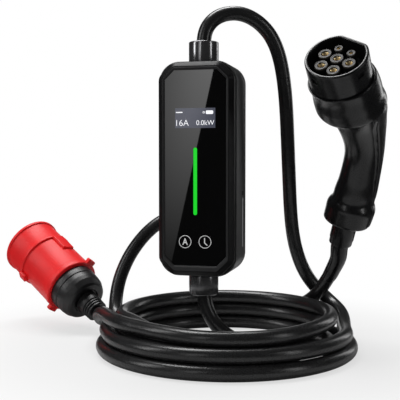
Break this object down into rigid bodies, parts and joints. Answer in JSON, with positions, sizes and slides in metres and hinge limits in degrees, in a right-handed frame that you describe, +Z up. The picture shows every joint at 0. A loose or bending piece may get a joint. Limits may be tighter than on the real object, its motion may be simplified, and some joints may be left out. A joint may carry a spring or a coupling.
{
  "type": "portable electric car charger",
  "caption": "Portable charging lead for an electric car: a control box above a coil of cable, with a pistol-grip vehicle connector and a red pin-and-sleeve supply plug.",
  "frame": {"origin": "centre of the cable coil on the surface it rests on", "axes": "+Z up along the long side of the control box; the control box faces -Y; +X to the right of someone who looks at the box's front"},
  "size_m": [0.4381, 0.3464, 0.3436],
  "materials": {
    "black_plastic": "fine matt grain",
    "case_plastic": "satin",
    "front_glass": "polished black",
    "display": "unlit display",
    "light_bar": "lit green",
    "grey_plastic": "satin",
    "red_plastic": "semi-gloss",
    "cable": "satin",
    "seal_rubber": "matt",
    "circuit_board": "solder mask",
    "relay_blue": "moulded",
    "terminal_green": "moulded",
    "brass": "machined",
    "pin_metal": "nickel plated",
    "screw_steel": "zinc plated"
  },
  "bodies": {
    "root": {"rear_shell": "black_plastic", "gasket": "seal_rubber", "front_frame": "case_plastic", "front_glass": "front_glass", "display": "display", "light_bar": "light_bar", "main_board": "circuit_board", "board_standoffs": "black_plastic", "relays": "relay_blue", "leakage_sensor": "grey_plastic", "supply_block": "grey_plastic", "terminal_blocks": "terminal_green", "case_screws": "screw_steel", "top_gland": "case_plastic", "bottom_gland": "case_plastic", "gland_nuts": "grey_plastic", "cord_tails": "cable", "connector_sleeve": "case_plastic", "contact_carrier": "black_plastic", "power_contacts": "brass", "signal_contacts": "brass", "contact_potting": "grey_plastic", "connector_handle": "black_plastic", "handle_spine": "case_plastic", "connector_core": "cable", "connector_collar": "case_plastic", "connector_relief": "cable", "plug_shroud": "red_plastic", "plug_insert": "grey_plastic", "plug_pins": "pin_metal", "plug_earth_pin": "pin_metal", "plug_housing": "case_plastic", "plug_gland": "case_plastic", "plug_cord_tail": "cable", "output_coil": "cable", "input_coil": "cable", "output_arc": "cable", "output_loop": "cable", "output_riser": "cable", "input_drop": "cable", "input_climb": "cable", "input_lead": "cable"}
  },
  "joints": []
}
